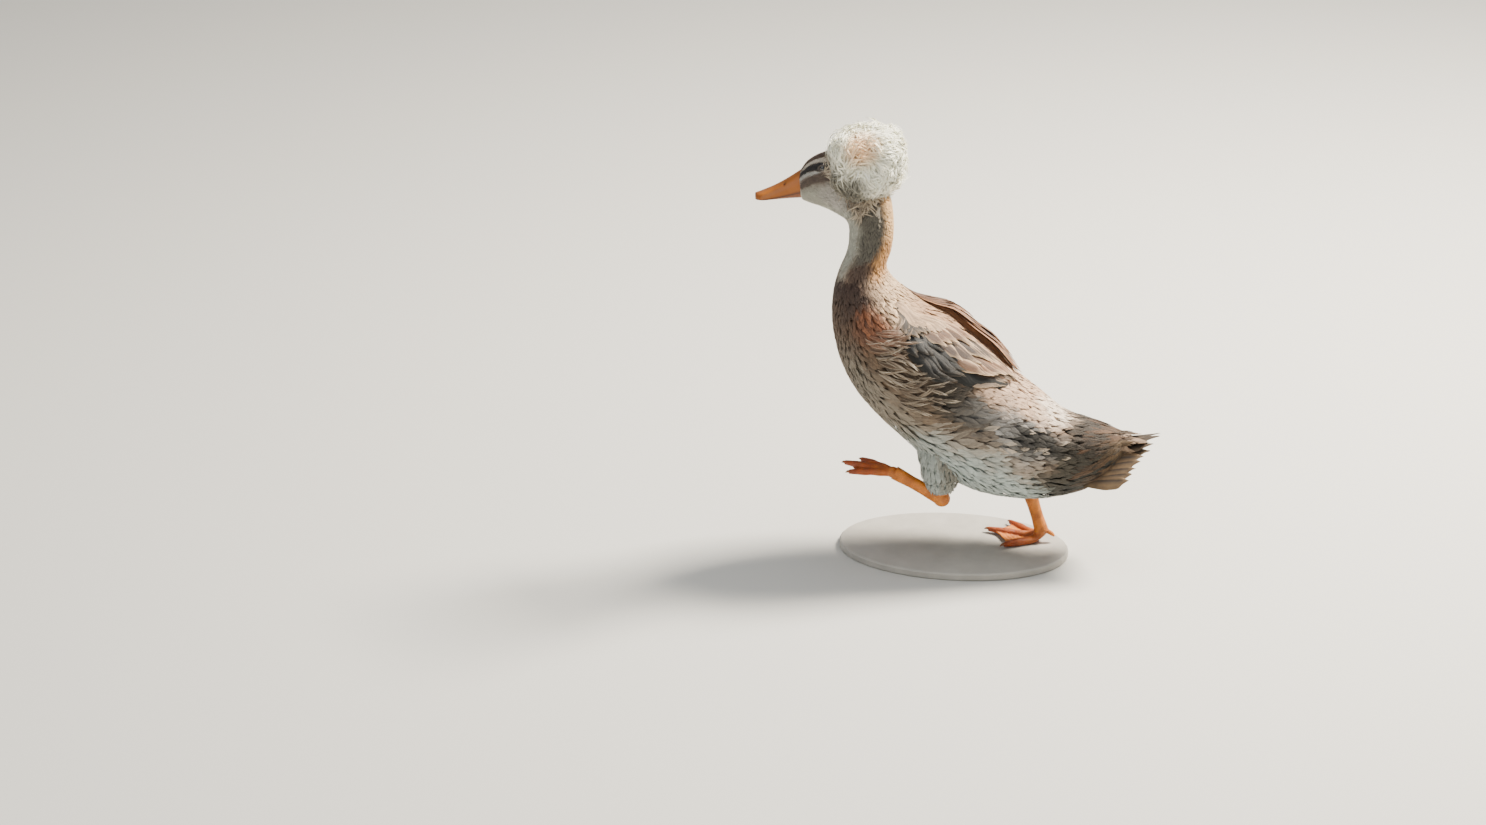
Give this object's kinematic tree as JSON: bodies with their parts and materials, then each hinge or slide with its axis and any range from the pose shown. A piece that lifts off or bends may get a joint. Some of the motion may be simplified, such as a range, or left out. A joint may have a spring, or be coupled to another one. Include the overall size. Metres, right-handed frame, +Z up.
{
  "type": "crested duck",
  "caption": "Life-size still model of a young crested duck in mid stride, one foot raised, with a round feather crest, standing on a plain oval base.",
  "frame": {"origin": "centre of the underside of the oval base", "axes": "+Z up; the bill points to -X, the tail to +X, and the duck's left side faces -Y"},
  "size_m": [0.4698, 0.17, 0.5239],
  "materials": {
    "plumage_buff": "soft matt body feathers",
    "plumage_grey": "soft matt head and neck feathers",
    "plumage_brown": "close flat wing and tail feathers, faint sheen",
    "crest_cream": "soft matt curled feathers",
    "bill_horn": "satin horn, browner along the top",
    "leg_skin": "scaled skin, satin",
    "eye_dark": "wet gloss",
    "stand_plate": "matt pale paint"
  },
  "bodies": {
    "root": {"head": "plumage_grey", "eye_left": "eye_dark", "eye_right": "eye_dark", "bill_upper": "bill_horn", "bill_lower": "bill_horn", "crest": "crest_cream", "neck": "plumage_grey", "torso": "plumage_buff", "wing_left": "plumage_brown", "wing_right": "plumage_brown", "tail": "plumage_brown", "thigh_left": "plumage_buff", "thigh_right": "plumage_buff", "shank_left": "leg_skin", "shank_right": "leg_skin", "foot_left": "leg_skin", "foot_right": "leg_skin", "stand_base": "stand_plate"}
  },
  "joints": []
}
